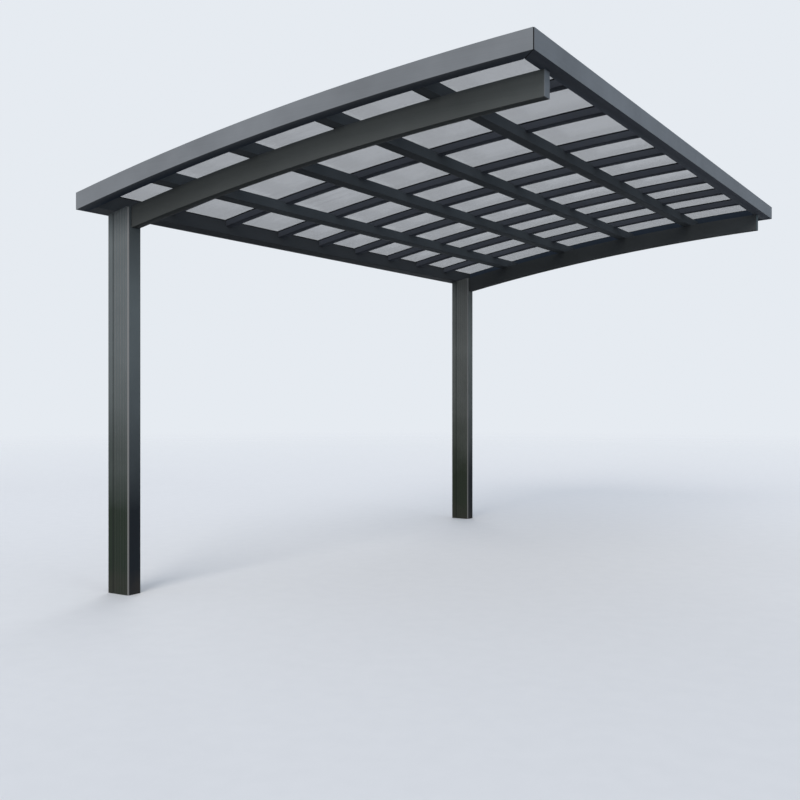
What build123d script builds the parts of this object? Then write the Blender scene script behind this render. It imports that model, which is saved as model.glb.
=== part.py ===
from build123d import *
import math
import os

# Cantilever carport with an arched, glazed roof on two posts. Sizes are in millimetres.
# X runs from the posts to the free edge, Y from the front to the rear, Z up from the ground.
# The origin is the middle of the front post's foot.

# Plan of the roof and of its two frames
roof_length = 4970          # front fascia face to rear fascia face
post_setback = 285          # middle of a post behind the outer face of the fascia near it
gutter_reach = 105          # post centre to the outer face of the gutter
roof_reach = 2895           # post centre to the outer face of the free edge
gutter_height = 2346        # underside of the gutter's outer edge above the ground

# Arch: every curved piece lies on circles about one axis, parallel to Y
arch_radius = 18650         # circle on which the tops of the purlins lie
crown_reach = 3907          # post centre to the crown of that circle, past the free edge

# Posts
post_width = 182            # along X
post_depth = 105            # along Y
post_wall = 4
post_corner = 10            # radius of the long edges
post_foot_web = 10          # web that closes the post at the ground
head_plate_thickness = 6
cover_strip_width = 46      # plain strip beside the gutter, up to the joint line
joint_line_width = 6        # slot between the plain strip and the grooved face
joint_line_depth = 6
flute_radius = 1.5
flute_count = 5
flute_pitch = 23
flute_start = 20            # from the joint line to the first flute

# Beams: arched box sections carried by the posts
beam_width = 60
beam_depth = 129
beam_wall = 4
beam_end_setback = 61       # end face of the beam behind the outer face of the free edge
root_plate_thickness = 12
root_plate_margin = 4       # the root plate is this much smaller than the beam all round
beam_cap_thickness = 3

# Perimeter frame
frame_width = 85
frame_rise = 37             # top of the outer lip above the purlin tops
frame_wall = 2.5
lip_width = 8
lip_reach = 23              # cover flange over the edge of the panels
end_cap_thickness = 3
corner_gap = 6              # open joint between the mitred ends
cleat_arm = 60
cleat_thickness = 6
cleat_play = 0.3

# Purlins
purlin_depth = 63
purlin_width = 68
purlin_wall = 2.5
purlin_count = 4
gutter_side_clear = 463     # clear width between the gutter and the first purlin
gutter_side_pitch = 595     # from the first purlin to the second
free_side_clear = 530       # clear width between the last purlin and the free edge frame

# Glazing bars and their cap strips
bar_width = 67
bar_wall = 2
bar_drop = 11               # underside of the bars below the purlin tops
glazing_level = 30          # underside of the panels above the purlin tops
bar_notch_play = 0.4
bar_end_play = 0.3
first_bar_clear = 590       # front frame to the first bar
first_bar_pitch = 560       # from the first bar to the second
second_bar_pitch = 579      # from the second bar to the third
main_bay_count = 4          # equal bays that share the rest of the length
narrow_bar_pitch = 489      # narrower bay before the last equal one
last_bar_clear = 480        # last bar to the rear frame
upstand_width = 6
cap_width = 60
cap_thickness = 2.6
cap_end_play = 0.5

# Roof panels
panel_thickness = 4
panel_side_play = 1.5       # beside the upstand of a bar
panel_edge_play = 2         # in the rebate of the frame
panel_top_play = 0.4        # below the caps and cover flanges
panel_drip = 30             # reach of the panels over the gutter

# Gutter: open trough between the two fascias
gutter_width = 85
gutter_wall = 2.5
gutter_hook = 12            # inward hook on top of the outer side
gutter_bed = 15             # flange on the inner side that the panels lie on

# Places that follow from the sizes above
post_spacing = roof_length - 2 * post_setback
roof_front = -post_setback
roof_rear = roof_front + roof_length
roof_middle = (roof_front + roof_rear) / 2
frame_front = roof_front + frame_width
frame_rear = roof_rear - frame_width
frame_side = roof_reach - frame_width
gutter_outer = -gutter_reach
gutter_inner = gutter_outer + gutter_width
half_post = post_width / 2
crown_height = gutter_height + purlin_depth + arch_radius
crown_height -= math.sqrt(arch_radius ** 2 - (crown_reach + gutter_reach) ** 2)
underside = -purlin_depth
beam_bottom = underside - beam_depth
beam_start = half_post + root_plate_thickness
beam_end = roof_reach - beam_end_setback - beam_cap_thickness
cap_level = glazing_level + panel_thickness + panel_top_play
first_purlin = gutter_inner + gutter_side_clear + purlin_width
second_purlin = first_purlin + gutter_side_pitch
last_purlin = frame_side - free_side_clear
purlin_pitch = (last_purlin - second_purlin) / (purlin_count - 2)
purlin_sides = [first_purlin]
purlin_sides += [second_purlin + i * purlin_pitch for i in range(purlin_count - 1)]
first_bar = frame_front + first_bar_clear + bar_width / 2
second_bar = first_bar + first_bar_pitch
third_bar = second_bar + second_bar_pitch
last_bar = frame_rear - last_bar_clear - bar_width / 2
main_bar_pitch = (last_bar - third_bar - narrow_bar_pitch) / main_bay_count
bar_centres = [first_bar, second_bar, third_bar]
bar_centres += [third_bar + (i + 1) * main_bar_pitch for i in range(main_bay_count - 1)]
bar_centres += [last_bar - main_bar_pitch, last_bar]


def arch_height(x, offset):
    """Height at x of the circle that lies the offset outside the purlin tops."""
    rise = math.sqrt((arch_radius + offset) ** 2 - (crown_reach - x) ** 2)
    return crown_height - arch_radius + rise


def arch_arc(x_start, x_end, offset):
    """Arc of that circle between two upright lines."""
    middle = (x_start + x_end) / 2
    start = (x_start, arch_height(x_start, offset))
    halfway = (middle, arch_height(middle, offset))
    end = (x_end, arch_height(x_end, offset))
    return ThreePointArc(start, halfway, end)


def arch_band(x_start, x_end, low, high):
    """Upright face between two of the circles, ended by upright lines."""
    with BuildSketch(Plane.XZ) as band:
        with BuildLine():
            lower = arch_arc(x_start, x_end, low)
            upper = arch_arc(x_start, x_end, high)
            Line(lower @ 0, upper @ 0)
            Line(lower @ 1, upper @ 1)
        make_face()
    return band.sketch


def along_y(face, y_start, y_end):
    """Carries an upright face from y_start to y_end."""
    solid = extrude(face, amount=y_end - y_start, dir=(0, 1, 0))
    return Pos(0, y_start, 0) * solid


def arched_bar(x_start, x_end, low, high, y_start, y_end):
    """Solid bar that follows the arch."""
    return along_y(arch_band(x_start, x_end, low, high), y_start, y_end)


def opposite(shape):
    """The same piece at the other end of the roof."""
    return mirror(shape, about=Plane.XZ.offset(-roof_middle))


def save(shape, name):
    export_step(shape, "parts/" + name + ".step")
    print(name, round(shape.volume / 1000, 1), "cm3")


def make_post():
    """Hollow grooved post, closed at the ground and cut to the arch at its top."""
    section = RectangleRounded(post_width, post_depth, post_corner)
    bore_width = post_width - 2 * post_wall
    bore_depth = post_depth - 2 * post_wall
    bore = RectangleRounded(bore_width, bore_depth, post_corner - post_wall)
    joint_line = cover_strip_width - half_post + joint_line_width / 2
    for face_y in (-post_depth / 2, post_depth / 2):
        slot = Rectangle(joint_line_width, 2 * joint_line_depth)
        rib = Rectangle(joint_line_width + 2 * post_wall, 2 * (joint_line_depth + post_wall))
        section -= Pos(joint_line, face_y) * slot
        bore -= Pos(joint_line, face_y) * rib
        for i in range(flute_count):
            flute_x = joint_line + flute_start + i * flute_pitch
            section -= Pos(flute_x, face_y) * Circle(flute_radius)
    stock = arch_height(half_post, underside) + post_width
    post = extrude(section, stock)
    post -= Pos(0, 0, post_foot_web) * extrude(bore, stock)
    top = underside - head_plate_thickness
    above = arched_bar(-post_width, post_width, top, 3 * post_width, -post_depth, post_depth)
    return post - above


def make_head_plate():
    """Plate on the post, under the gutter, that follows the arch."""
    low = underside - head_plate_thickness
    half_depth = post_depth / 2
    return arched_bar(-half_post, half_post, low, underside, -half_depth, half_depth)


def make_beam():
    """Arched box beam between its root plate and its end cap."""
    side = beam_width / 2
    inside = side - beam_wall
    low = beam_bottom + beam_wall
    high = underside - beam_wall
    beam = arched_bar(beam_start, beam_end, beam_bottom, underside, -side, side)
    start = beam_start - beam_wall
    return beam - arched_bar(start, beam_end + beam_wall, low, high, -inside, inside)


def make_root_plate():
    """Plate between post and beam, a little smaller so that a shadow line shows."""
    side = beam_width / 2 - root_plate_margin
    low = beam_bottom + root_plate_margin
    high = underside - root_plate_margin
    return arched_bar(half_post, beam_start, low, high, -side, side)


def make_beam_cap():
    """Plate that closes the free end of the beam."""
    side = beam_width / 2
    cap_end = beam_end + beam_cap_thickness
    return arched_bar(beam_end, cap_end, beam_bottom, underside, -side, side)


def make_purlin(right_side):
    """Box section from fascia to fascia, on top of both beams."""
    left_side = right_side - purlin_width
    left_inside = left_side + purlin_wall
    right_inside = right_side - purlin_wall
    section = arch_band(left_side, right_side, underside, 0)
    section -= arch_band(left_inside, right_inside, underside + purlin_wall, -purlin_wall)
    return along_y(section, frame_front, frame_rear)


def mitre_wedge(keeps_fascia):
    """Upright block past the mitre plane of the front corner, on one side of it."""
    along = Vector(1, -1, 0).normalized()
    across = Vector(1, 1, 0).normalized()
    if not keeps_fascia:
        across = across * -1
    corner = Vector(roof_reach, roof_front, 0) - across * (corner_gap / 2)
    outer = corner + along * (2 * frame_width)
    inner = corner - along * (4 * frame_width)
    depth = across * (4 * frame_width)
    plan = make_face(Polyline(outer, inner, inner + depth, outer + depth, close=True))
    return extrude(plan, amount=2 * crown_height, dir=(0, 0, 1))


def make_front_fascia():
    """Arched box section with the rebate that holds the panels, mitred at the free edge."""
    start = gutter_outer + end_cap_thickness
    reach = roof_reach + frame_width
    box = arched_bar(start, reach, underside, glazing_level, roof_front, frame_front)
    front_inside = roof_front + frame_wall
    rear_inside = frame_front - frame_wall
    low = underside + frame_wall
    high = glazing_level - frame_wall
    box -= arched_bar(start - frame_wall, reach, low, high, front_inside, rear_inside)
    lip_rear = roof_front + lip_width
    lip = arched_bar(start, reach, glazing_level, frame_rise, roof_front, lip_rear)
    flange_rear = roof_front + lip_reach
    flange = arched_bar(start, reach, cap_level, frame_rise, roof_front, flange_rear)
    return box + lip + flange - mitre_wedge(True)


def make_free_edge_frame():
    """Straight box section of the free edge, with the same rebate, mitred at both ends."""
    left_inside = frame_side + frame_wall
    right_inside = roof_reach - frame_wall
    low = underside + frame_wall
    section = arch_band(frame_side, roof_reach, underside, glazing_level)
    section -= arch_band(left_inside, right_inside, low, glazing_level - frame_wall)
    section += arch_band(roof_reach - lip_width, roof_reach, glazing_level, frame_rise)
    section += arch_band(roof_reach - lip_reach, roof_reach, cap_level, frame_rise)
    frame = along_y(section, roof_front, roof_rear)
    wedge = mitre_wedge(False)
    return frame - wedge - opposite(wedge)


def make_corner_cleat():
    """Angle inside the mitred corner that joins fascia and free edge frame."""
    low = underside + frame_wall + cleat_play
    high = glazing_level - frame_wall - cleat_play
    front = roof_front + frame_wall + cleat_play
    right = roof_reach - frame_wall - cleat_play
    fascia_arm = arched_bar(right - cleat_arm, right, low, high, front, front + cleat_thickness)
    side_arm = arched_bar(right - cleat_thickness, right, low, high, front, front + cleat_arm)
    return fascia_arm + side_arm


def make_fascia_cap():
    """Plate on the gutter end of the front fascia."""
    end = gutter_outer + end_cap_thickness
    return arched_bar(gutter_outer, end, underside, frame_rise, roof_front, frame_front)


def make_gutter():
    """Open trough on the post heads: outer side with a hook, floor, and inner side with a bed."""
    outer_inside = gutter_outer + gutter_wall
    inner_inside = gutter_inner - gutter_wall
    floor_level = underside + gutter_wall
    hook_level = frame_rise - gutter_wall
    trough = arch_band(gutter_outer, gutter_inner, underside, frame_rise)
    trough -= arch_band(outer_inside, inner_inside, floor_level, hook_level)
    hook_end = gutter_outer + gutter_hook
    trough -= arch_band(hook_end, gutter_inner + gutter_wall, glazing_level, 2 * frame_rise)
    bed_start = gutter_inner - gutter_bed
    bed_underside = glazing_level - gutter_wall
    trough += arch_band(bed_start, gutter_inner, bed_underside, glazing_level)
    return along_y(trough, frame_front, frame_rear)


def make_glazing_bar(centre):
    """Hollow bar across the roof, notched over the purlins, with an upstand for its cap."""
    start = gutter_inner + bar_end_play
    end = frame_side - bar_end_play
    side = bar_width / 2
    inside = side - bar_wall
    low = -bar_drop + bar_wall
    high = glazing_level - bar_wall
    bar = arched_bar(start, end, -bar_drop, glazing_level, -side, side)
    bar -= arched_bar(start - bar_wall, end + bar_wall, low, high, -inside, inside)
    for right_side in purlin_sides:
        left = right_side - purlin_width - bar_notch_play
        right = right_side + bar_notch_play
        bar -= arched_bar(left, right, -2 * bar_drop, 0, -bar_width, bar_width)
    half_web = upstand_width / 2
    bar += arched_bar(start, end, glazing_level, cap_level, -half_web, half_web)
    return Pos(0, centre, 0) * bar


def make_bar_cap(centre):
    """Strip that clamps the edges of two panels onto a bar."""
    start = gutter_inner - panel_drip
    end = roof_reach - lip_reach - cap_end_play
    side = cap_width / 2
    high = cap_level + cap_thickness
    return arched_bar(start, end, cap_level, high, centre - side, centre + side)


def make_roof_panel(y_start, y_end):
    """Curved sheet from the gutter to the rebate of the free edge."""
    start = gutter_inner - panel_drip
    end = roof_reach - lip_width - panel_edge_play
    high = glazing_level + panel_thickness
    return arched_bar(start, end, glazing_level, high, y_start, y_end)


os.makedirs("parts", exist_ok=True)

rear_frame = Pos(0, post_spacing, 0)
post = make_post()
head_plate = make_head_plate()
beam = make_beam()
root_plate = make_root_plate()
beam_cap = make_beam_cap()
save(post, "front_post")
save(rear_frame * post, "rear_post")
save(head_plate, "front_post_head")
save(rear_frame * head_plate, "rear_post_head")
save(beam, "front_beam")
save(rear_frame * beam, "rear_beam")
save(root_plate, "front_beam_root_plate")
save(rear_frame * root_plate, "rear_beam_root_plate")
save(beam_cap, "front_beam_cap")
save(rear_frame * beam_cap, "rear_beam_cap")

for number, right_side in enumerate(purlin_sides, start=1):
    save(make_purlin(right_side), "purlin_" + str(number))

fascia = make_front_fascia()
cleat = make_corner_cleat()
fascia_cap = make_fascia_cap()
save(fascia, "front_fascia")
save(opposite(fascia), "rear_fascia")
save(make_free_edge_frame(), "free_edge_frame")
save(cleat, "front_corner_cleat")
save(opposite(cleat), "rear_corner_cleat")
save(fascia_cap, "front_fascia_cap")
save(opposite(fascia_cap), "rear_fascia_cap")
save(make_gutter(), "gutter")

for number, centre in enumerate(bar_centres, start=1):
    save(make_glazing_bar(centre), "glazing_bar_" + str(number))
save(Compound([make_bar_cap(centre) for centre in bar_centres]), "bar_caps")

beside_upstand = upstand_width / 2 + panel_side_play
in_rebate = lip_width + panel_edge_play
panel_starts = [roof_front + in_rebate]
panel_starts += [centre + beside_upstand for centre in bar_centres]
panel_ends = [centre - beside_upstand for centre in bar_centres]
panel_ends += [roof_rear - in_rebate]
for number, y_start in enumerate(panel_starts, start=1):
    save(make_roof_panel(y_start, panel_ends[number - 1]), "roof_panel_" + str(number))
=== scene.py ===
# %% [markdown]
# # An arched cantilever carport, finished in Blender
# The frame, beams, posts and sheets come from the CAD model as they are. This lesson gives each of them a
# finish that is painted by nodes at true scale, and adds the thin trim that is fitted last: rubber
# gaskets beside the roof sheets, seals in the joints and screws along the clamping strips.
# Everything is in metres, X toward the free edge of the roof, Y toward the rear, Z up.

# %% Load the frame
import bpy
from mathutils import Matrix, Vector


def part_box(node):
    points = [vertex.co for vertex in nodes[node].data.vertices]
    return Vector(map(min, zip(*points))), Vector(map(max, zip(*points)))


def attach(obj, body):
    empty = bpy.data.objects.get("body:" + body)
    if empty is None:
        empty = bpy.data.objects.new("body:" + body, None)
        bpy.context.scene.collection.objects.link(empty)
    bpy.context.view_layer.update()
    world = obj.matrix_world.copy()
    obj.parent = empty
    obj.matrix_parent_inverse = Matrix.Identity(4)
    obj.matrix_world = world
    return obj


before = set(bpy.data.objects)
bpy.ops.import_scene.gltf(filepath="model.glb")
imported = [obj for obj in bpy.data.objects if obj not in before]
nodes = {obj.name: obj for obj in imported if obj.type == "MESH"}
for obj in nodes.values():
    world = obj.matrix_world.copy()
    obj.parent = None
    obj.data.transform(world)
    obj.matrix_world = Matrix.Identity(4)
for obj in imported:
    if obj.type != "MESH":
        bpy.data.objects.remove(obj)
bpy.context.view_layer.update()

import bpy
import bmesh
import math
import random
from mathutils import Vector

# %% [markdown]
# ## Camera
# The view is a level camera at chest height in front of the free edge, turned about a third of the way
# toward the posts. A level camera keeps the posts upright in the picture. The small shift moves the
# horizon, and is used instead of a tilt, which would make the posts lean.

# %% Camera
camera_place = Vector((4.705, -4.290, 1.230))
camera_turn = math.radians(32.044)
level_view = math.radians(90)
sensor_width = 36
lens_length = 44.43
horizon_shift = -0.0066

camera_data = bpy.data.cameras.new("camera")
camera_data.sensor_width = sensor_width
camera_data.lens = lens_length
camera_data.shift_y = horizon_shift
camera = bpy.data.objects.new("camera", camera_data)
bpy.context.scene.collection.objects.link(camera)
camera.location = camera_place
camera.rotation_euler = (level_view, 0, camera_turn)
bpy.context.scene.camera = camera
bpy.context.scene.view_settings.view_transform = "Standard"
print("camera at", tuple(camera_place), "lens", lens_length)

# %% [markdown]
# ## Wiring helpers
# Every finish below is a small graph of nodes. These helpers make one node, or one common pair of nodes,
# so that each recipe reads as a list of what the finish is made of. Patterns read Object coordinates: the
# CAD pieces sit at the origin, so one unit is one metre and a noise scale of 500 makes spots of 2 mm.

# %% Wiring helpers
def new_finish(name):
    finish = bpy.data.materials.new(name)
    finish.use_nodes = True
    tree = finish.node_tree
    shader = tree.nodes["Principled BSDF"]
    return finish, tree, shader


def add(tree, kind, links=None, **settings):
    """One node. Keys of links are input names or numbers, values are sockets or plain values."""
    node = tree.nodes.new(kind)
    for key, value in settings.items():
        setattr(node, key, value)
    for key, value in (links or {}).items():
        if isinstance(value, bpy.types.NodeSocket):
            tree.links.new(value, node.inputs[key])
        else:
            node.inputs[key].default_value = value
    return node


def connect(tree, shader, **values):
    """Leads sockets into the shader. Underscores stand for the spaces in its input names."""
    for key, value in values.items():
        tree.links.new(value, shader.inputs[key.replace("_", " ")])


def object_place(tree):
    return add(tree, "ShaderNodeTexCoord").outputs["Object"]


def surface_normal(tree):
    return add(tree, "ShaderNodeNewGeometry").outputs["Normal"]


def axes(tree, vector):
    """The X, Y and Z of a place or a direction."""
    return add(tree, "ShaderNodeSeparateXYZ", {"Vector": vector}).outputs


print("wiring helpers ready")

# %% [markdown]
# ## Sums and colours
# A finish mixes many layers, and each layer is a little arithmetic: a pattern is stretched to the range
# that is wanted, multiplied by where it may show, and used as the amount of a second colour. Blender has
# a node for each of these steps. The helpers give them the short names that a recipe needs.

# %% Sums and colours
def calculate(tree, operation, first, second):
    return add(tree, "ShaderNodeMath", {0: first, 1: second}, operation=operation).outputs[0]


def times(tree, first, second):
    return calculate(tree, "MULTIPLY", first, second)


def plus(tree, first, second):
    return calculate(tree, "ADD", first, second)


def calculate_vector(tree, operation, first, second=(0, 0, 0)):
    """A vector operation. Lengths and dot products are in its output named Value."""
    return add(tree, "ShaderNodeVectorMath", {0: first, 1: second}, operation=operation).outputs


def spread(tree, value, low, high, to_low=0.0, to_high=1.0):
    """Carries the range low to high to a new range and cuts off the rest."""
    links = {"Value": value, 1: low, 2: high, 3: to_low, 4: to_high}
    return add(tree, "ShaderNodeMapRange", links).outputs["Result"]


def solid(colour):
    """A written colour gets full opacity, and a colour from another node stays as it is."""
    if isinstance(colour, bpy.types.NodeSocket):
        return colour
    return tuple(colour) + (1,)


def blend_colour(tree, amount, first, second):
    """The first colour where the amount is 0, the second where it is 1."""
    links = {0: amount, 6: solid(first), 7: solid(second)}
    return add(tree, "ShaderNodeMix", links, data_type="RGBA").outputs[2]


print("sums and colours ready")

# %% [markdown]
# ## Patterns
# Two patterns are enough for everything here. Plain noise gives clouds, dust and the fine grain of a
# coat. The same noise in coordinates that are squeezed along one axis gives streaks and die lines. Noise
# is mostly between 0.3 and 0.7, so that range is carried to the one that is wanted. A bump node turns a
# pattern into relief that is too fine to model.

# %% Patterns
noise_low, noise_high = 0.3, 0.7


def grain(tree, place, scale, detail=2.0, roughness=0.5):
    """Noise from 0 to 1 with spots of about one metre over the scale."""
    links = {"Vector": place, "Scale": scale, "Detail": detail, "Roughness": roughness}
    return add(tree, "ShaderNodeTexNoise", links).outputs["Fac"]


def stretched(tree, place, scale):
    """Coordinates scaled by a different amount along each axis, for streaks."""
    return add(tree, "ShaderNodeMapping", {"Vector": place, "Scale": scale}).outputs["Vector"]


def noise_between(tree, noise, lowest=0.0, highest=1.0):
    return spread(tree, noise, noise_low, noise_high, lowest, highest)


def relief(tree, shader, pattern, strength, height):
    """Bump of a true height in metres."""
    bump = add(tree, "ShaderNodeBump", {"Strength": strength, "Distance": height, "Height": pattern})
    connect(tree, shader, Normal=bump.outputs["Normal"])


print("noise is spread from", noise_low, "to", noise_high)

# %% [markdown]
# ## Floor
# The studio is plain: one pale floor with a faint speckle that fades out far away. The camera,
# reflections and rays that pass through the sheets see the pale floor. All other rays meet a much darker
# one, so that little light comes up from below and the underside of the roof stays in shade, as it does
# outdoors. A light path node tells the two kinds of ray apart. A floor that is dark for all rays would
# spoil the pale picture.

# %% Floor
roof_middle = (1.40, 2.20, 0.0)
floor_colour = (0.765, 0.75, 0.735)
speckle_colour = (0.5, 0.5, 0.5)
speckle_scale = 9.0
speckle_share = 0.06
floor_as_lamp = (0.10, 0.10, 0.10)
floor_reach = 60.0
floor_sides = 96
floor_dullness = 0.9
fade_from, fade_to = 7.0, 26.0


def seen_by_eye(tree):
    """1 for rays from the camera, in reflections and through clear pieces, and 0 for the rest."""
    ray = add(tree, "ShaderNodeLightPath").outputs
    seen = calculate(tree, "MAXIMUM", ray["Is Camera Ray"], ray["Is Glossy Ray"])
    return calculate(tree, "MAXIMUM", seen, ray["Is Transmission Ray"])


floor_finish, tree, shader = new_finish("pale_floor")
place = object_place(tree)
speckle = noise_between(tree, grain(tree, place, speckle_scale, detail=6.0), 0.0, speckle_share)
tone = blend_colour(tree, speckle, floor_colour, speckle_colour)
connect(tree, shader, Base_Color=blend_colour(tree, seen_by_eye(tree), floor_as_lamp, tone))
distance = calculate_vector(tree, "LENGTH", place)["Value"]
connect(tree, shader, Alpha=spread(tree, distance, fade_from, fade_to, 1.0, 0.0))
shader.inputs["Roughness"].default_value = floor_dullness
shader.inputs["Specular IOR Level"].default_value = 0.0

bpy.ops.mesh.primitive_circle_add(vertices=floor_sides, radius=floor_reach, fill_type="NGON",
                                  location=roof_middle)
floor = bpy.context.object
floor.name = "floor"
floor.data.materials.append(floor_finish)
print("floor radius", floor_reach)

# %% [markdown]
# ## Surround
# Behind the floor stands an even, pale surround, which is the world's colour. What it sends out as light
# is a dimmer, bluer sky. The same test of rays as on the floor parts what is seen from what gives light.
# A backdrop made of mesh would look the same from the front, and would be in the way when the model is
# turned.

# %% Surround
surround_colour = (0.79, 0.83, 0.88)
sky_for_light = (0.83, 0.94, 1.12)
sky_strength = 0.62

world = bpy.data.worlds.new("surround")
world.use_nodes = True
bpy.context.scene.world = world
tree = world.node_tree
background = tree.nodes["Background"]
seen = seen_by_eye(tree)
connect(tree, background, Color=blend_colour(tree, seen, sky_for_light, surround_colour))
connect(tree, background, Strength=spread(tree, seen, 0.0, 1.0, sky_strength, 1.0))
print("sky strength", sky_strength)

# %% [markdown]
# ## Lamps
# Four broad lamps do the work of softboxes. The main one stands in front, a little to the right and
# above. Two low ones, in front and at the side of the free edge, send their light in under the roof, to
# the beams and the posts. The one from behind keeps the far sides readable when the model is turned. Sun
# lamps with a wide angle are used, because their light has the same strength all over so large an object.

# %% Lamps
warm_white = (1.0, 0.975, 0.94)
soft_white = (1.0, 0.98, 0.95)
sky_blue = (0.82, 0.93, 1.0)
cool_white = (0.96, 0.98, 1.0)


def broad_lamp(name, direction, strength, width_degrees, colour):
    lamp_data = bpy.data.lights.new(name, "SUN")
    lamp_data.energy = strength
    lamp_data.angle = math.radians(width_degrees)
    lamp_data.color = colour
    lamp = bpy.data.objects.new(name, lamp_data)
    bpy.context.scene.collection.objects.link(lamp)
    lamp.rotation_euler = Vector(direction).to_track_quat("Z", "Y").to_euler()
    print(name, "strength", strength)


broad_lamp("main_lamp", (0.21, -0.82, 0.42), strength=1.75, width_degrees=32, colour=warm_white)
broad_lamp("low_lamp", (0.05, -1.0, 0.05), strength=0.92, width_degrees=12, colour=soft_white)
broad_lamp("side_lamp", (0.97, -0.14, 0.16), strength=0.88, width_degrees=25, colour=sky_blue)
broad_lamp("back_lamp", (-0.52, 0.78, 0.30), strength=1.45, width_degrees=40, colour=cool_white)

# %% [markdown]
# ## Powder coat: the fresh layer
# The frame is extruded aluminium with a baked-on anthracite powder coat. Close up such a coat has a fine
# leathery texture and a few faint lines along the extrusion, where the die dragged. Further away it shows
# broad, soft changes of tone. Noise at three scales makes them. An image would have to be unwrapped onto
# each long piece and would blur close up, while noise stays sharp at any size.

# %% Fresh coat
texture_scale = 900.0
cloud_scale = 1.6
die_line_scales = {"X": (0.5, 260, 260), "Y": (260, 0.5, 260), "Z": (260, 260, 0.5)}
line_from, line_to = 0.35, 0.65
line_share = 0.10
line_tone = 1.5
deepest, palest = 0.86, 1.16


def shade(paint, share):
    """The paint made deeper or paler."""
    return tuple(channel * share for channel in paint)


def tinted(paint, shares):
    """The paint with one share for each of red, green and blue."""
    return tuple(channel * share for channel, share in zip(paint, shares))


def fresh_coat(tree, place, paint, length_axis):
    """The paint's tone, its texture and the lines of the die."""
    texture = grain(tree, place, texture_scale, detail=3.0, roughness=0.55)
    cloud = grain(tree, place, cloud_scale, detail=4.0, roughness=0.6)
    along = stretched(tree, place, die_line_scales[length_axis])
    die_lines = grain(tree, along, 1.0, detail=3.0, roughness=0.6)
    tone = blend_colour(tree, noise_between(tree, cloud), shade(paint, deepest), shade(paint, palest))
    lined = spread(tree, die_lines, line_from, line_to, 0.0, line_share)
    return blend_colour(tree, lined, tone, shade(paint, line_tone)), texture, die_lines


print("die lines", round(1 / die_line_scales["X"][1], 4), "apart")

# %% [markdown]
# ## Powder coat: painted shade on sheltered faces
# Faces that look outward or up keep the paint's tone. The undersides of the perimeter frame and its faces
# toward the roof are made much deeper, close to the tone of the grid, which is painted shade. Masks painted
# by hand could show this. Here the place of a point, counted from the middle of the roof, is compared with
# the way its face looks, which needs no painting and fits each piece.

# %% Painted shade on sheltered faces
half_roof = 2.4
unshaded_at = half_roof * 0.5


def painted_inner_shade(tree, place, facing, tone, paint, full_shade_at, shade_shares):
    """Keeps the tone on faces that look outward or up, and paints shade on the sheltered ones."""
    from_middle = calculate_vector(tree, "SUBTRACT", place, roof_middle)["Vector"]
    sideways = calculate_vector(tree, "MULTIPLY", from_middle, (1, 1, 0))["Vector"]
    outward = calculate_vector(tree, "DOT_PRODUCT", sideways, facing)["Value"]
    skyward = spread(tree, axes(tree, facing)["Z"], 0.0, 1.0, 0.0, half_roof)
    # painted shade: undersides and faces toward the roof get deeper shares of the paint
    paler_share = spread(tree, plus(tree, outward, skyward), full_shade_at, unshaded_at)
    return blend_colour(tree, paler_share, tinted(paint, shade_shares), tone)


print("fully chalked from", unshaded_at)

# %% [markdown]
# ## Powder coat: rubbed edges
# Hands, ladders and wind-blown grit rub the edges paler, in patches. A bevel node rounds the normals near
# an edge. Where they differ from the face's own, there is an edge, and noise breaks the wear into
# patches. It could be painted along each edge instead, but a later change of shape would leave that paint
# behind.

# %% Rubbed edges
wear_radius = 0.0022
wear_samples = 4
full_edge, no_edge = 0.80, 0.97
patch_scale = 22.0
patch_from, patch_to = 0.48, 0.66
least_wear, most_wear = 0.12, 0.75
wear_share = 0.45
rubbed_tone = (0.36, 0.37, 0.38)


def rubbed_edges(tree, place, facing, tone):
    bevel = add(tree, "ShaderNodeBevel", {"Radius": wear_radius}, samples=wear_samples)
    alike = calculate_vector(tree, "DOT_PRODUCT", facing, bevel.outputs["Normal"])["Value"]
    edge = spread(tree, alike, full_edge, no_edge, 1.0, 0.0)
    patches = grain(tree, place, patch_scale, detail=4.0, roughness=0.7)
    patches = spread(tree, patches, patch_from, patch_to, least_wear, most_wear)
    return blend_colour(tree, times(tree, times(tree, edge, patches), wear_share), tone, rubbed_tone)


print("edge wear reaches", wear_radius)

# %% [markdown]
# ## Powder coat: dust
# Faces that look up carry a thin film of dust, thicker in drifts. It could be a mesh of its own, but it
# has no thickness that anyone could see. The way a face looks says whether dust can lie on it, and noise
# makes the drifts. The coat is duller under it as well, so the amount of dust is handed on.

# %% Dust
dust_tone = (0.30, 0.285, 0.25)
slope_from, slope_to = 0.55, 0.95
drift_scale = 5.0
drift_from, drift_to = 0.3, 0.75
thin_dust, thick_dust = 0.08, 0.42


def dusted(tree, place, facing, tone):
    """The tone with its dust, and how thick the dust lies."""
    looks_up = spread(tree, axes(tree, facing)["Z"], slope_from, slope_to)
    drifts = grain(tree, place, drift_scale, detail=5.0)
    drifts = spread(tree, drifts, drift_from, drift_to, thin_dust, thick_dust)
    dust = times(tree, looks_up, drifts)
    return blend_colour(tree, dust, tone, dust_tone), dust


print("dust covers", thin_dust, "to", thick_dust)

# %% [markdown]
# ## Powder coat: painted shade on the beams near the posts
# The beams are made lightest at their free ends and deeper near the posts, which is painted shade, where the
# roof comes down low and little sun gets in. A slow change along X is all it takes. Two paints with a border
# would show a line.

# %% Beams near the posts
root_from, root_to = 0.3, 2.5
root_shade_share = 0.6
painted_shade_share = 0.5


def painted_shade_near_posts(tree, place, tone, paint):
    # painted shade: the beam's tone deepens toward the posts
    root_shade = spread(tree, axes(tree, place)["X"], root_from, root_to, root_shade_share, 0.0)
    return blend_colour(tree, root_shade, tone, shade(paint, painted_shade_share))


print("beams deepen from X", root_to, "to", root_from)
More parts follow.
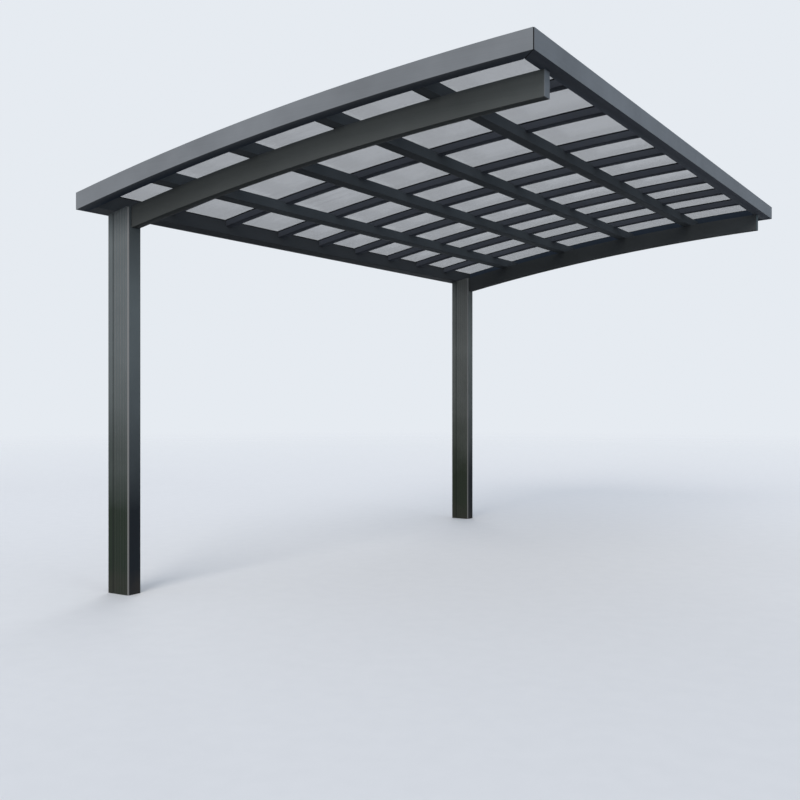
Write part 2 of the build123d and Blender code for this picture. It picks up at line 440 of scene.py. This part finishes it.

# %% [markdown]
# ## Powder coat: the plain sides of the posts
# The grooved faces of a post look to the front and rear, and its plain sides to the gutter and the free
# edge. The plain sides are made paler below their top, which is painted light, and on the front post their
# top is made darker, which is painted shade. The way a face looks along X picks the plain sides, so one
# material serves the whole post, and its rounded corners get no hard border.

# %% Plain sides of the posts
plain_from, plain_to = 0.6, 0.9
side_light_tone = 1.5
side_light_share = 0.38
side_light_low, side_light_high = 1.75, 2.20
top_shade_low, top_shade_high = 1.90, 2.22


def looks_plain(tree, turned):
    """1 on the plain sides and 0 on the grooved faces."""
    return spread(tree, times(tree, turned["X"], turned["X"]), plain_from, plain_to)


def lit_and_shaded_sides(tree, tone, paint, height, plain_side, top_painted_shade):
    # painted light: plain sides paler lower down; painted shade: their top darker
    side_light = spread(tree, height, side_light_low, side_light_high, side_light_share, 0.0)
    tone = blend_colour(tree, times(tree, plain_side, side_light), tone, shade(paint, side_light_tone))
    top_shade = spread(tree, height, top_shade_low, top_shade_high, 0.0, top_painted_shade)
    return blend_colour(tree, times(tree, plain_side, top_shade), tone, shade(paint, painted_shade_share))


print("plain sides fade below", side_light_high)

# %% [markdown]
# ## Powder coat: painted shade at the feet of the posts
# The posts are made darker toward the foot, which is painted shade and reflection: greenish on the grooved
# faces, only dark on the plain sides. It thins out upward with a ragged border and ends at the bottom in a
# dark brown band. The height of a point gives the amount of shade, and noise added to the height makes the
# border ragged. A power above 1 keeps it faint at first and strong near the foot.

# %% Feet of the posts
foot_shade_from, foot_shade_to = 0.45, 1.75
foot_shade_power = 1.4
border_scale = 3.0
raggedness = 0.12
grooved_foot_shade = (0.220, 0.262, 0.195)
plain_foot_shade = (0.195, 0.202, 0.232)
foot_dark_from, foot_dark_to = -0.06, 0.16
foot_dark_share = 0.75
foot_dark_tone = (0.046, 0.040, 0.035)


def painted_foot_shade(tree, place, tone, paint, height, plain_side):
    """The tone with the painted shade toward the foot, and how strong that shade is."""
    border = grain(tree, place, border_scale, detail=5.0)
    ragged = plus(tree, height, noise_between(tree, border, -raggedness, raggedness))
    # painted shade and reflection: darker and greener toward the foot, darkest brown at the bottom
    foot_shade = calculate(tree, "POWER", spread(tree, ragged, foot_shade_from, foot_shade_to, 1.0, 0.0), foot_shade_power)
    foot_shade_tone = blend_colour(tree, plain_side, tinted(paint, grooved_foot_shade), tinted(paint, plain_foot_shade))
    tone = blend_colour(tree, foot_shade, tone, foot_shade_tone)
    foot_dark = spread(tree, ragged, foot_dark_from, foot_dark_to, foot_dark_share, 0.0)
    return blend_colour(tree, foot_dark, tone, foot_dark_tone), foot_shade


print("film up to", foot_shade_to)

# %% [markdown]
# ## Powder coat: painted highlight on the corners of the posts
# The rounded corners of a post and the lips of its grooves are made paler along their whole length, as a
# painted highlight. There a face looks partly along X and partly along Y, so the product of the two finds
# them without any painting. The outer corners stay pale down to the foot, while the painted foot shade
# covers the lips of the grooves.

# %% Corners of the posts
corner_from, corner_to = 0.01, 0.10
outer_from, outer_to = 0.0060, 0.0068
corner_highlight_high = (0.190, 0.184, 0.182)
corner_highlight_low = (0.165, 0.159, 0.156)
lip_highlight_low = (0.060, 0.062, 0.058)
corner_highlight_share = 0.9


def painted_corner_highlight(tree, place, turned, tone, foot_shade):
    # painted highlight: corners and groove lips paler than both faces
    both_ways = times(tree, turned["X"], turned["Y"])
    corner = spread(tree, times(tree, both_ways, both_ways), corner_from, corner_to)
    across = axes(tree, place)["X"]
    outer = spread(tree, times(tree, across, across), outer_from, outer_to)
    highlight_foot_tone = blend_colour(tree, outer, lip_highlight_low, corner_highlight_low)
    highlight_tone = blend_colour(tree, foot_shade, corner_highlight_high, highlight_foot_tone)
    return blend_colour(tree, times(tree, corner, corner_highlight_share), tone, highlight_tone)


print("outer corners from X", round(math.sqrt(outer_from), 4))

# %% [markdown]
# ## Powder coat: the recipe
# The layers are laid in this order: paint, painted shade on sheltered faces, wear, dust, painted shade on
# the beams near the posts, and on the posts painted light and shade on the plain sides, painted shade toward
# the foot and a painted highlight on the corners. A piece chooses its paint, the direction of its die lines
# and which layers it has. The coat is dull, and duller still under dust. Bump, not displacement, carries the
# texture, because it is only a tenth of a millimetre high.

# %% Powder coat
texture_dullness = (0.60, 0.72)
line_dullness = (-0.03, 0.03)
dust_dullness = 0.3
line_relief = 0.6
coat_relief = 0.35
coat_height = 0.0001
coat_gloss = 0.02


def powder_coat(name, paint, length_axis, full_shade_at=None, shade_shares=None, root_painted_shade=False, top_painted_shade=None):
    finish, tree, shader = new_finish(name)
    place = object_place(tree)
    facing = surface_normal(tree)
    tone, texture, die_lines = fresh_coat(tree, place, paint, length_axis)
    if full_shade_at is not None:
        tone = painted_inner_shade(tree, place, facing, tone, paint, full_shade_at, shade_shares)
    tone = rubbed_edges(tree, place, facing, tone)
    tone, dust = dusted(tree, place, facing, tone)
    if root_painted_shade:
        tone = painted_shade_near_posts(tree, place, tone, paint)
    if top_painted_shade is not None:
        turned = axes(tree, facing)
        height = axes(tree, place)["Z"]
        plain_side = looks_plain(tree, turned)
        tone = lit_and_shaded_sides(tree, tone, paint, height, plain_side, top_painted_shade)
        tone, foot_shade = painted_foot_shade(tree, place, tone, paint, height, plain_side)
        tone = painted_corner_highlight(tree, place, turned, tone, foot_shade)
    connect(tree, shader, Base_Color=tone)

    dullness = plus(tree, noise_between(tree, texture, *texture_dullness), times(tree, dust, dust_dullness))
    dullness = plus(tree, dullness, noise_between(tree, die_lines, *line_dullness))
    connect(tree, shader, Roughness=dullness)
    relief(tree, shader, plus(tree, texture, times(tree, die_lines, line_relief)), coat_relief, coat_height)
    shader.inputs["Specular IOR Level"].default_value = coat_gloss
    print("finish", name, "paint", paint)
    return finish


# %% [markdown]
# ## The paints of posts and beams
# All pieces left the same paint line, but the photograph shows small differences of tone. The end caps of
# the beams are pale, and the sides of the beams are much deeper, which is painted shade. The rear post has
# a paler paint of its own, which is painted light, and the rear beam and cap have deeper ones, which are
# painted shade, because these lamps reach them in another measure than the daylight did. The die lines run
# along each piece: up the posts and along the beams. One recipe keeps them a family, which separate
# materials would not.

# %% Paints of posts and beams
# painted shade and light: beams deeper than posts, rear beam and cap deeper still, rear post paler
post_paint = (0.102, 0.114, 0.116)
rear_post_lit_paint = (0.120, 0.126, 0.118)
beam_shaded_paint = (0.080, 0.086, 0.084)
rear_beam_shaded_paint = (0.072, 0.078, 0.080)
cap_paint = (0.150, 0.160, 0.170)
rear_cap_shaded_paint = (0.080, 0.100, 0.105)
# painted shade at the top of the plain sides, on the front post only
front_top_shade, rear_top_shade = 0.56, 0.0

post_coat = powder_coat("post_coat", post_paint, "Z", top_painted_shade=front_top_shade)
rear_post_lit_coat = powder_coat("rear_post_lit_coat", rear_post_lit_paint, "Z", top_painted_shade=rear_top_shade)
beam_coat = powder_coat("beam_coat", beam_shaded_paint, "X", root_painted_shade=True)
rear_beam_shaded_coat = powder_coat("rear_beam_shaded_coat", rear_beam_shaded_paint, "X", root_painted_shade=True)
cap_coat = powder_coat("cap_coat", cap_paint, "Z")
rear_cap_shaded_coat = powder_coat("rear_cap_shaded_coat", rear_cap_shaded_paint, "Z")

# %% [markdown]
# ## The paints of the roof
# The fascias, the free edge and the gutter share one paint that leans a little to blue. They differ in
# how deep the painted shade on their undersides and inner faces is. Bars and purlins are in shade all
# day, and their deeper paints are painted shade. The die lines follow the arch on fascias and bars, and
# run along Y on the others.

# %% Paints of the roof
frame_paint = (0.161, 0.170, 0.180)
# painted shade: bars and purlins get about half the frame's paint tone
grid_shaded_paint = (0.077, 0.085, 0.091)
bar_shaded_paint = (0.074, 0.082, 0.098)
# painted shade on the undersides and inner faces of frame and gutter, as shares of the frame paint
fascia_shade_shares = (0.22, 0.28, 0.37)
edge_shade_shares = (0.42, 0.50, 0.66)
gutter_shade_shares = (0.40, 0.40, 0.40)

fascia_coat = powder_coat("fascia_coat", frame_paint, "X", full_shade_at=-0.75, shade_shares=fascia_shade_shares)
edge_coat = powder_coat("edge_coat", frame_paint, "Y", full_shade_at=-1.2, shade_shares=edge_shade_shares)
gutter_coat = powder_coat("gutter_coat", frame_paint, "Y", full_shade_at=-0.3, shade_shares=gutter_shade_shares)
bar_coat = powder_coat("bar_coat", bar_shaded_paint, "X")
purlin_coat = powder_coat("purlin_coat", grid_shaded_paint, "Y")

# %% [markdown]
# ## Smoke-grey sheet
# The roof sheets are clear plastic with a smoke tint. An alpha lets part of the light through, so that
# the surround shows as grey. The upper side has a film of dust. It gathers near the gutter, where rain
# leaves it, and dries in streaks that follow the fall of the roof. True glass would bend light through a
# thin sheet for no gain and would need far more samples.

# %% Tint and cover of the sheets
sheet_tint = (0.225, 0.238, 0.290)
sheet_dust = (0.36, 0.35, 0.33)
sheet_dust_share = 0.35
gutter_side, free_side = 0.0, 2.80
dust_at_gutter, dust_at_edge = 0.6, 0.1
streak_scales = (1.2, 26, 1)
streak_from, streak_to = 0.42, 0.75
sheet_cover = 0.385
cover_change = 0.006
dust_cover = 0.03

sheet_finish, tree, shader = new_finish("smoke_sheet")
place = object_place(tree)
streaks = grain(tree, stretched(tree, place, streak_scales), 1.0, detail=5.0, roughness=0.6)
toward_gutter = spread(tree, axes(tree, place)["X"], gutter_side, free_side, dust_at_gutter, dust_at_edge)
dust = times(tree, spread(tree, streaks, streak_from, streak_to), toward_gutter)
dust_amount = times(tree, dust, sheet_dust_share)
connect(tree, shader, Base_Color=blend_colour(tree, dust_amount, sheet_tint, sheet_dust))
cover = noise_between(tree, streaks, sheet_cover - cover_change, sheet_cover + cover_change)
connect(tree, shader, Alpha=plus(tree, cover, times(tree, dust, dust_cover)))
print("sheet cover", sheet_cover)

# %% [markdown]
# ## Gloss of the sheets
# The underside of a sheet is smooth, with fine specks and broad, shallow waves, as extruded sheet has.
# The top is weathered dull, and dust makes it duller. One roughness serves both sides, because it reads
# which way the face looks. The waves are bump, since they are less than a millimetre high and a third of
# a metre long.

# %% Gloss of the sheets
speck_scale = 320.0
speck_from, speck_to = 0.35, 0.7
underside_dullness = (0.15, 0.21)
below, above = -0.2, 0.2
top_dullness = 0.42
sheet_dust_dullness = 0.25
wave_scale = 3.5
wave_relief = 0.12
wave_height = 0.001
sheet_index = 1.58
sheet_gloss = 0.08

top_side = spread(tree, axes(tree, surface_normal(tree))["Z"], below, above)
specks = grain(tree, place, speck_scale)
dullness = spread(tree, specks, speck_from, speck_to, *underside_dullness)
dullness = plus(tree, dullness, times(tree, top_side, top_dullness))
connect(tree, shader, Roughness=plus(tree, dullness, times(tree, dust, sheet_dust_dullness)))
relief(tree, shader, grain(tree, place, wave_scale, detail=1.0, roughness=0.4), wave_relief, wave_height)
shader.inputs["IOR"].default_value = sheet_index
shader.inputs["Specular IOR Level"].default_value = sheet_gloss
print("sheet index", sheet_index)

# %% [markdown]
# ## Rubber
# Gaskets, seals and slot inserts are black rubber: dull, a little chalky, with fine pits. Flat black
# would read as a hole, so noise varies the tone and the dullness, and a finer noise makes the pits.

# %% Rubber
rubber_black = (0.005, 0.005, 0.006)
rubber_chalk = (0.015, 0.015, 0.016)
chalk_scale = 60.0
rubber_dullness = (0.62, 0.80)
pit_scale = 1400.0
pit_relief = 0.3
pit_height = 0.0001
rubber_gloss = 0.05

gasket_rubber, tree, shader = new_finish("gasket_rubber")
place = object_place(tree)
paler_share = grain(tree, place, chalk_scale, detail=4.0)
connect(tree, shader, Base_Color=blend_colour(tree, paler_share, rubber_black, rubber_chalk))
connect(tree, shader, Roughness=noise_between(tree, paler_share, *rubber_dullness))
relief(tree, shader, grain(tree, place, pit_scale), pit_relief, pit_height)
shader.inputs["Specular IOR Level"].default_value = rubber_gloss
print("rubber dullness", rubber_dullness)

# %% [markdown]
# ## Stainless steel
# The screws are stainless steel, turned on a lathe and a little hazy from weather. The tone changes
# slowly over the roof, and a fine grain in roughness and bump stands for the marks of the tool. Rings
# drawn round each head would be smaller than anyone could see.

# %% Stainless steel
steel_dull = (0.48, 0.48, 0.47)
steel_bright = (0.60, 0.60, 0.60)
haze_scale = 12.0
steel_dullness = (0.28, 0.42)
tool_mark_scale = 1500.0
tool_mark_relief = 0.2
tool_mark_height = 0.00008

screw_steel, tree, shader = new_finish("screw_steel")
place = object_place(tree)
tool_marks = grain(tree, place, tool_mark_scale)
haze = grain(tree, place, haze_scale, detail=3.0)
connect(tree, shader, Base_Color=blend_colour(tree, haze, steel_dull, steel_bright))
connect(tree, shader, Roughness=noise_between(tree, tool_marks, *steel_dullness))
relief(tree, shader, tool_marks, tool_mark_relief, tool_mark_height)
shader.inputs["Metallic"].default_value = 1.0
print("steel dullness", steel_dullness)

# %% [markdown]
# ## Dress the CAD pieces
# A finish is chosen by the start of a piece's name, and the longest start that fits wins, so an end cap
# gets its own finish and not its beam's. The material slots of the CAD pieces are filled, and nothing
# about their shape is touched. Forty assignments by hand would do the same and invite slips.

# %% Dress the CAD pieces
finish_for = {
    "front_post": post_coat,
    "rear_post": rear_post_lit_coat,
    "front_beam": beam_coat,
    "rear_beam": rear_beam_shaded_coat,
    "front_beam_cap": cap_coat,
    "rear_beam_cap": rear_cap_shaded_coat,
    "front_fascia": fascia_coat,
    "rear_fascia": fascia_coat,
    "free_edge_frame": edge_coat,
    "front_corner_cleat": edge_coat,
    "rear_corner_cleat": edge_coat,
    "gutter": gutter_coat,
    "purlin": purlin_coat,
    "glazing_bar": bar_coat,
    "bar_caps": bar_coat,
    "roof_panel": sheet_finish,
}
for name, piece in nodes.items():
    start = max((key for key in finish_for if name.startswith(key)), key=len)
    piece.data.materials.clear()
    piece.data.materials.append(finish_for[start])
print("dressed", len(nodes), "pieces")

# %% [markdown]
# ## Softened edges
# No extruded edge is razor sharp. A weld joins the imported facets, and a bevel of under a millimetre then
# rounds every edge that turns by more than thirty degrees, which is what catches the light as a thin
# line. Modifiers do it without touching the mesh. The posts have rounded corners already and the sheets
# are saw-cut, so both stay as they are.

# %% Softened edges
edge_radius = 0.0008
edge_steps = 2
least_turn = math.radians(30)
weld_reach = 0.00002
softened = 0
for name, piece in nodes.items():
    if "post" in name or name.startswith("roof_panel"):
        continue
    weld = piece.modifiers.new("weld", "WELD")
    weld.merge_threshold = weld_reach
    bevel = piece.modifiers.new("soft_edges", "BEVEL")
    bevel.width = edge_radius
    bevel.segments = edge_steps
    bevel.limit_method = "ANGLE"
    bevel.angle_limit = least_turn
    bevel.harden_normals = True
    softened += 1
print("softened", softened, "pieces")

# %% [markdown]
# ## The arch
# All curved pieces lie on circles about one axis along Y. This helper gives the height of such a circle,
# so that the trim follows the sheets exactly. The offset counts from the circle through the purlins'
# tops. The crown's height follows from the radius and the height of the gutter, so it isn't written a
# second time.

# %% The arch
arch_radius = 18.650
crown_x = 3.907
gutter_x = -0.105
gutter_height = 2.346
purlin_depth = 0.063
crown_z = gutter_height + purlin_depth + arch_radius
crown_z -= math.sqrt(arch_radius ** 2 - (crown_x - gutter_x) ** 2)


def arch_z(x, offset):
    rise = math.sqrt((arch_radius + offset) ** 2 - (crown_x - x) ** 2)
    return crown_z - arch_radius + rise


print("crown", round(crown_z, 4))

# %% [markdown]
# ## Sweeps
# Every bead of rubber is one small outline carried along a line. The sweep below is built ring by ring,
# which gives clean quads and lets one piece hold every bead of its kind. A curve with a bevel could do it
# too, but its outline would turn with the curve, and this one has to stay square to the sheet.

# %% Sweep a bead
def quarter_round(radius, side, upright, steps=4):
    """Corner points of a quarter round whose corner is at (0, 0), open to one side and up or down."""
    points = [(0.0, 0.0)]
    for i in range(steps + 1):
        turn = math.pi / 2 * i / steps
        points.append((side * radius * math.cos(turn), upright * radius * math.sin(turn)))
    return points


def sweep(mesh, stations, shape):
    """Joins copies of the shape at the stations. A station turns a shape point into a place."""
    rings = [[mesh.verts.new(station(a, b)) for a, b in shape] for station in stations]
    for ring, following in zip(rings, rings[1:]):
        for i in range(len(shape)):
            j = (i + 1) % len(shape)
            mesh.faces.new((ring[i], ring[j], following[j], following[i]))
    mesh.faces.new(list(reversed(rings[0])))
    mesh.faces.new(rings[-1])


def along_arch(x_start, x_end, y, offset, count=24):
    """Stations along the arch. The shape's first number runs along Y, its second away from the axis."""
    def at(x):
        return lambda a, b: (x, y + a, arch_z(x, offset + b))
    return [at(x_start + (x_end - x_start) * i / count) for i in range(count + 1)]


def along_roof(y_start, y_end, x, offset):
    """Stations along Y. The shape's first number runs along X."""
    def at(y):
        return lambda a, b: (x + a, y, arch_z(x + a, offset + b))
    return [at(y_start), at(y_end)]


def finish_piece(name, mesh, finish):
    """Makes one object of the mesh, gives it its finish and lets it ride on the frame."""
    bmesh.ops.recalc_face_normals(mesh, faces=mesh.faces)
    data = bpy.data.meshes.new(name)
    mesh.to_mesh(data)
    mesh.free()
    piece = bpy.data.objects.new(name, data)
    bpy.context.scene.collection.objects.link(piece)
    data.materials.append(finish)
    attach(piece, "root")
    print(name, "faces", len(data.polygons))


print("sweep ready")

# %% [markdown]
# ## Sheet gaskets from below
# Each sheet is bedded on rubber. What shows is the bead squeezed out in the corner between the sheet and
# its bar, a thin black line from below. Each bead is a quarter round that runs round the bay, along the
# arch and along Y. The boxes of the CAD pieces say where the bays begin and end, so nothing is measured
# twice.

# %% Sheet gaskets from below
bead_radius = 0.003
sheet_level = 0.030
gutter_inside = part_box("gutter")[1].x
edge_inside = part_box("free_edge_frame")[0].x
front_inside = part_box("front_fascia")[1].y
rear_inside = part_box("rear_fascia")[0].y
bar_boxes = [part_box(name) for name in nodes if name.startswith("glazing_bar")]
bar_sides = sorted((low.y, high.y) for low, high in bar_boxes)
bay_starts = [front_inside] + [high for low, high in bar_sides]
bay_ends = [low for low, high in bar_sides] + [rear_inside]

mesh = bmesh.new()
start_bead = quarter_round(bead_radius, 1, -1)
end_bead = quarter_round(bead_radius, -1, -1)
for y_start, y_end in zip(bay_starts, bay_ends):
    sweep(mesh, along_arch(gutter_inside, edge_inside, y_start, sheet_level), start_bead)
    sweep(mesh, along_arch(gutter_inside, edge_inside, y_end, sheet_level), end_bead)
    sweep(mesh, along_roof(y_start, y_end, gutter_inside, sheet_level), start_bead)
    sweep(mesh, along_roof(y_start, y_end, edge_inside, sheet_level), end_bead)
finish_piece("under_gaskets", mesh, gasket_rubber)

# %% [markdown]
# ## Sheet gaskets from above
# On top, the clamping strips and the lip of the frame press on the sheets through the same rubber. Its
# edge shows as a thin bead beside each strip and along the lip. It is swept the same way as below, with a
# smaller radius and open upward.

# %% Sheet gaskets from above
top_bead_radius = 0.0018
sheet_top = 0.034
strip_half_width = 0.030
lip_reach = 0.023
strip_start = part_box("bar_caps")[0].x
strip_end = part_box("bar_caps")[1].x
front_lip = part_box("front_fascia")[0].y + lip_reach
rear_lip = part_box("rear_fascia")[1].y - lip_reach
edge_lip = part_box("free_edge_frame")[1].x - lip_reach
bar_middles = [(low + high) / 2 for low, high in bar_sides]

mesh = bmesh.new()
start_bead = quarter_round(top_bead_radius, 1, 1)
end_bead = quarter_round(top_bead_radius, -1, 1)
lip_starts = [front_lip]
lip_ends = []
for middle in bar_middles:
    strip_front = middle - strip_half_width
    strip_rear = middle + strip_half_width
    sweep(mesh, along_arch(strip_start, strip_end, strip_front, sheet_top), end_bead)
    sweep(mesh, along_arch(strip_start, strip_end, strip_rear, sheet_top), start_bead)
    lip_ends.append(strip_front)
    lip_starts.append(strip_rear)
lip_ends.append(rear_lip)
sweep(mesh, along_arch(strip_start, edge_lip, front_lip, sheet_top), start_bead)
sweep(mesh, along_arch(strip_start, edge_lip, rear_lip, sheet_top), end_bead)
for y_start, y_end in zip(lip_starts, lip_ends):
    sweep(mesh, along_roof(y_start, y_end, edge_lip, sheet_top), end_bead)
finish_piece("top_gaskets", mesh, gasket_rubber)

# %% [markdown]
# ## Seals in the mitres
# The joints between the fascias and the free edge frame are closed with black rubber and read as dark
# lines. A thin ring of seal follows the outline of the section, set back a little from its faces. Four
# flat blocks make each ring, because a solid plug would fill the hollow sections.

# %% Seals in the mitres
seal_setback = 0.0023
seal_recess = 0.0012
seal_thickness = 0.0015
half_gap = 0.0029
diagonal = math.sqrt(0.5)
frame_width = 0.085
flange_width = 0.022
frame_foot, frame_bed, frame_lip = -0.063, 0.030, 0.037
edge_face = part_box("free_edge_frame")[1].x
front_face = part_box("front_fascia")[0].y
rear_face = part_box("rear_fascia")[1].y


def mitre_block(mesh, face_y, inward, near, far, low, high):
    """Block in a mitre joint, from one depth behind the outer corner to another."""
    corners = []
    for depth in (near, far):
        for side in (-1, 1):
            x = edge_face - depth + side * half_gap * diagonal
            y = face_y + inward * (depth + side * half_gap * diagonal)
            corners.append([mesh.verts.new((x, y, arch_z(x, level))) for level in (low, high)])
    a, b, c, d = corners
    faces = [(a[0], a[1], b[1], b[0]), (c[0], d[0], d[1], c[1]), (a[0], c[0], c[1], a[1])]
    faces += [(b[0], b[1], d[1], d[0]), (a[0], b[0], d[0], c[0]), (a[1], c[1], d[1], b[1])]
    for face in faces:
        mesh.faces.new(face)


near, far = seal_setback, frame_width - seal_setback
near_inside, far_inside = near + seal_thickness, far - seal_thickness
bottom = frame_foot + seal_recess
bed = frame_bed - seal_recess
top = frame_lip - seal_recess
mesh = bmesh.new()
for face_y, inward in ((front_face, 1), (rear_face, -1)):
    mitre_block(mesh, face_y, inward, near, near_inside, bottom, top)
    mitre_block(mesh, face_y, inward, near_inside, far_inside, bottom, bottom + seal_thickness)
    mitre_block(mesh, face_y, inward, far_inside, far, bottom, bed)
    mitre_block(mesh, face_y, inward, near_inside, flange_width, top - seal_thickness / 2, top)
finish_piece("corner_seals", mesh, gasket_rubber)

# %% [markdown]
# ## Inserts in the posts
# A slot parts the plain strip of a post from its grooved face. A flat rubber insert fills it and shows as
# one dark line from head to foot. A thin block in each slot, a little behind the face, gives that line
# and its shadow, which a dark stripe in the paint would not.

# %% Inserts in the posts
insert_width = 0.0058
insert_depth = 0.0054
slot_depth = 0.006
slot_middle = -0.042
head_plate = 0.006
insert_play = 0.002
insert_foot = 0.003
insert_top = arch_z(slot_middle, -purlin_depth - head_plate) - insert_play
insert_size = Vector((insert_width, insert_depth, insert_top - insert_foot))

mesh = bmesh.new()
for name in ("front_post", "rear_post"):
    low_corner, high_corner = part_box(name)
    for face_y, inward in ((low_corner.y, 1), (high_corner.y, -1)):
        insert_y = face_y + inward * (slot_depth - insert_depth / 2)
        middle = Vector((slot_middle, insert_y, (insert_top + insert_foot) / 2))
        made = bmesh.ops.create_cube(mesh, size=1.0)["verts"]
        bmesh.ops.scale(mesh, vec=insert_size, verts=made)
        bmesh.ops.translate(mesh, vec=middle, verts=made)
finish_piece("post_inserts", mesh, gasket_rubber)

# %% [markdown]
# ## The head of a screw
# Hexagon screws with a flange hold the clamping strips. The head is a stack of rings, as a lathe would
# leave it: a flange disc, six-sided flanks and a domed top. A plain cylinder would be quicker, but close
# up it would look like a peg. The head stands square to the arch, so it leans with the strip that it
# holds.

# %% Screw head
head_radius = 0.004
head_height = 0.0042
flange_radius = 0.0065
flange_height = 0.0012
head_corners = 24
sixth_turn = math.pi / 3
strip_top = 0.037


def hexagon_reach(radius, angle):
    """How far the side of a hexagon is from its middle, at an angle from one of its flats."""
    return radius / math.cos((angle + sixth_turn / 2) % sixth_turn - sixth_turn / 2)


def screw_head(mesh, x, y, turn):
    """Flange, hexagon and dome of one screw, square to the arch."""
    slope = math.asin((crown_x - x) / (arch_radius + strip_top))
    foot = Vector((x, y, arch_z(x, strip_top)))
    along = Vector((math.cos(slope), 0, math.sin(slope)))
    up = Vector((-math.sin(slope), 0, math.cos(slope)))
    side = Vector((0, 1, 0))

    def ring(radius, height, hexagonal=False):
        verts = []
        for i in range(head_corners):
            angle = turn + 2 * math.pi * i / head_corners
            reach = hexagon_reach(radius, angle - turn) if hexagonal else radius
            spot = foot + along * reach * math.cos(angle) + side * reach * math.sin(angle)
            verts.append(mesh.verts.new(spot + up * height))
        return verts

    rings = [
        ring(flange_radius, 0.0),
        ring(flange_radius, flange_height * 0.6),
        ring(flange_radius * 0.92, flange_height),
        ring(head_radius * 1.02, flange_height * 1.1, hexagonal=True),
        ring(head_radius, head_height * 0.86, hexagonal=True),
        ring(head_radius * 0.86, head_height * 0.96),
        ring(head_radius * 0.40, head_height),
    ]
    for lower, upper in zip(rings, rings[1:]):
        for i in range(head_corners):
            j = (i + 1) % head_corners
            mesh.faces.new((lower[i], lower[j], upper[j], upper[i]))
    mesh.faces.new(list(reversed(rings[0])))
    mesh.faces.new(rings[-1])


print("screw head", head_radius * 2, "wide")

# %% [markdown]
# ## Screws
# Each clamping strip has a screw about every forty-five centimetres. All heads are one mesh, and each is
# turned by a random angle from a fixed seed, because screws never all stop at the same angle. Copies of
# one object would save memory, but a screw in the same position everywhere is what gives a model away.

# %% Screws
screw_pitch = 0.45
first_screw = 0.16
screws_a_strip = 6
turns = random.Random(7)

mesh = bmesh.new()
for middle in bar_middles:
    for i in range(screws_a_strip):
        screw_head(mesh, first_screw + i * screw_pitch, middle, turns.uniform(0, sixth_turn))
finish_piece("strip_screws", mesh, screw_steel)
print("screws", screws_a_strip * len(bar_middles))
